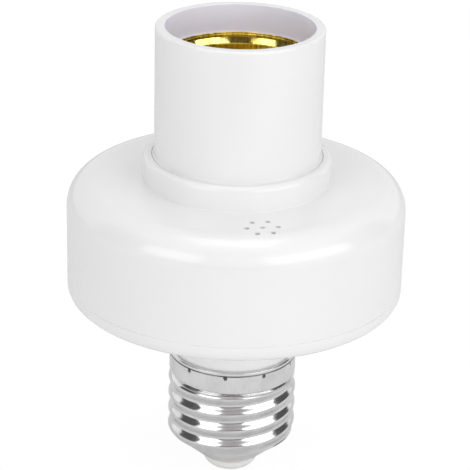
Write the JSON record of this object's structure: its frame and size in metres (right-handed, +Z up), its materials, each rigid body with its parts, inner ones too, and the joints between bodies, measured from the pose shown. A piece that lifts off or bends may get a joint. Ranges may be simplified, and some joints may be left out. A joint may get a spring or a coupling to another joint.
{
  "type": "remote control lamp holder",
  "caption": "White lamp holder with a screw cap below, a round receiver drum and an open tube with a brass screw socket.",
  "frame": {"origin": "lowest point of the cap's centre contact, on the axis", "axes": "+Z up along the axis towards the socket's mouth, -Y towards the front with the sound holes"},
  "size_m": [0.0668, 0.0668, 0.0958],
  "materials": {
    "white_housing": "gloss white moulding",
    "cap_nickel": "nickel-plated rolled sheet",
    "brass": "bright brass sheet",
    "contact_brass": "turned brass",
    "insulator": "moulded insulating base",
    "board_green": "solder mask over glass fibre",
    "relay_black": "moulded relay case",
    "film_yellow": "potted film capacitor case",
    "can_sleeve": "shrink sleeve over an aluminium can",
    "chip_black": "moulded chip case",
    "varistor_blue": "epoxy-dipped disc",
    "resistor_tan": "lacquered resistor body",
    "can_metal": "pressed metal can",
    "screw_steel": "zinc-plated screw",
    "lead_red": "insulated live wire",
    "lead_blue": "insulated neutral wire"
  },
  "bodies": {
    "holder": {"cap_shell": "cap_nickel", "lower_housing": "white_housing", "upper_housing": "white_housing", "holder_tube": "white_housing", "socket_shell": "brass", "cap_contact": "contact_brass", "socket_base": "insulator", "contact_rivet": "contact_brass", "contact_tag": "contact_brass", "shell_rivets": "contact_brass", "shell_tag": "contact_brass", "rivet_washer": "contact_brass", "circuit_board": "board_green", "relay": "relay_black", "film_capacitor": "film_yellow", "smoothing_capacitor": "can_sleeve", "bridge_rectifier": "chip_black", "fuse_resistor": "resistor_tan", "varistor": "varistor_blue", "resistors": "resistor_tan", "regulator": "chip_black", "relay_transistor": "chip_black", "receiver_board": "board_green", "receiver_chip": "chip_black", "decoder_chip": "chip_black", "crystal": "can_metal", "antenna_wire": "lead_red", "sounder": "relay_black", "live_lead": "lead_red", "neutral_lead": "lead_blue", "switched_lead": "lead_red", "return_lead": "lead_blue", "housing_screws": "screw_steel"},
    "contact": {"centre_contact": "brass"}
  },
  "joints": [
    {"name": "contact_flex", "type": "hinge", "parent": "holder", "child": "contact", "pos_m": [-0.0034, 0, 0.06383], "axis": [0, 1, 0], "range_deg": [0, 15], "stiffness_Nm_per_rad": 0.05, "deforming": ["centre_contact"]}
  ]
}
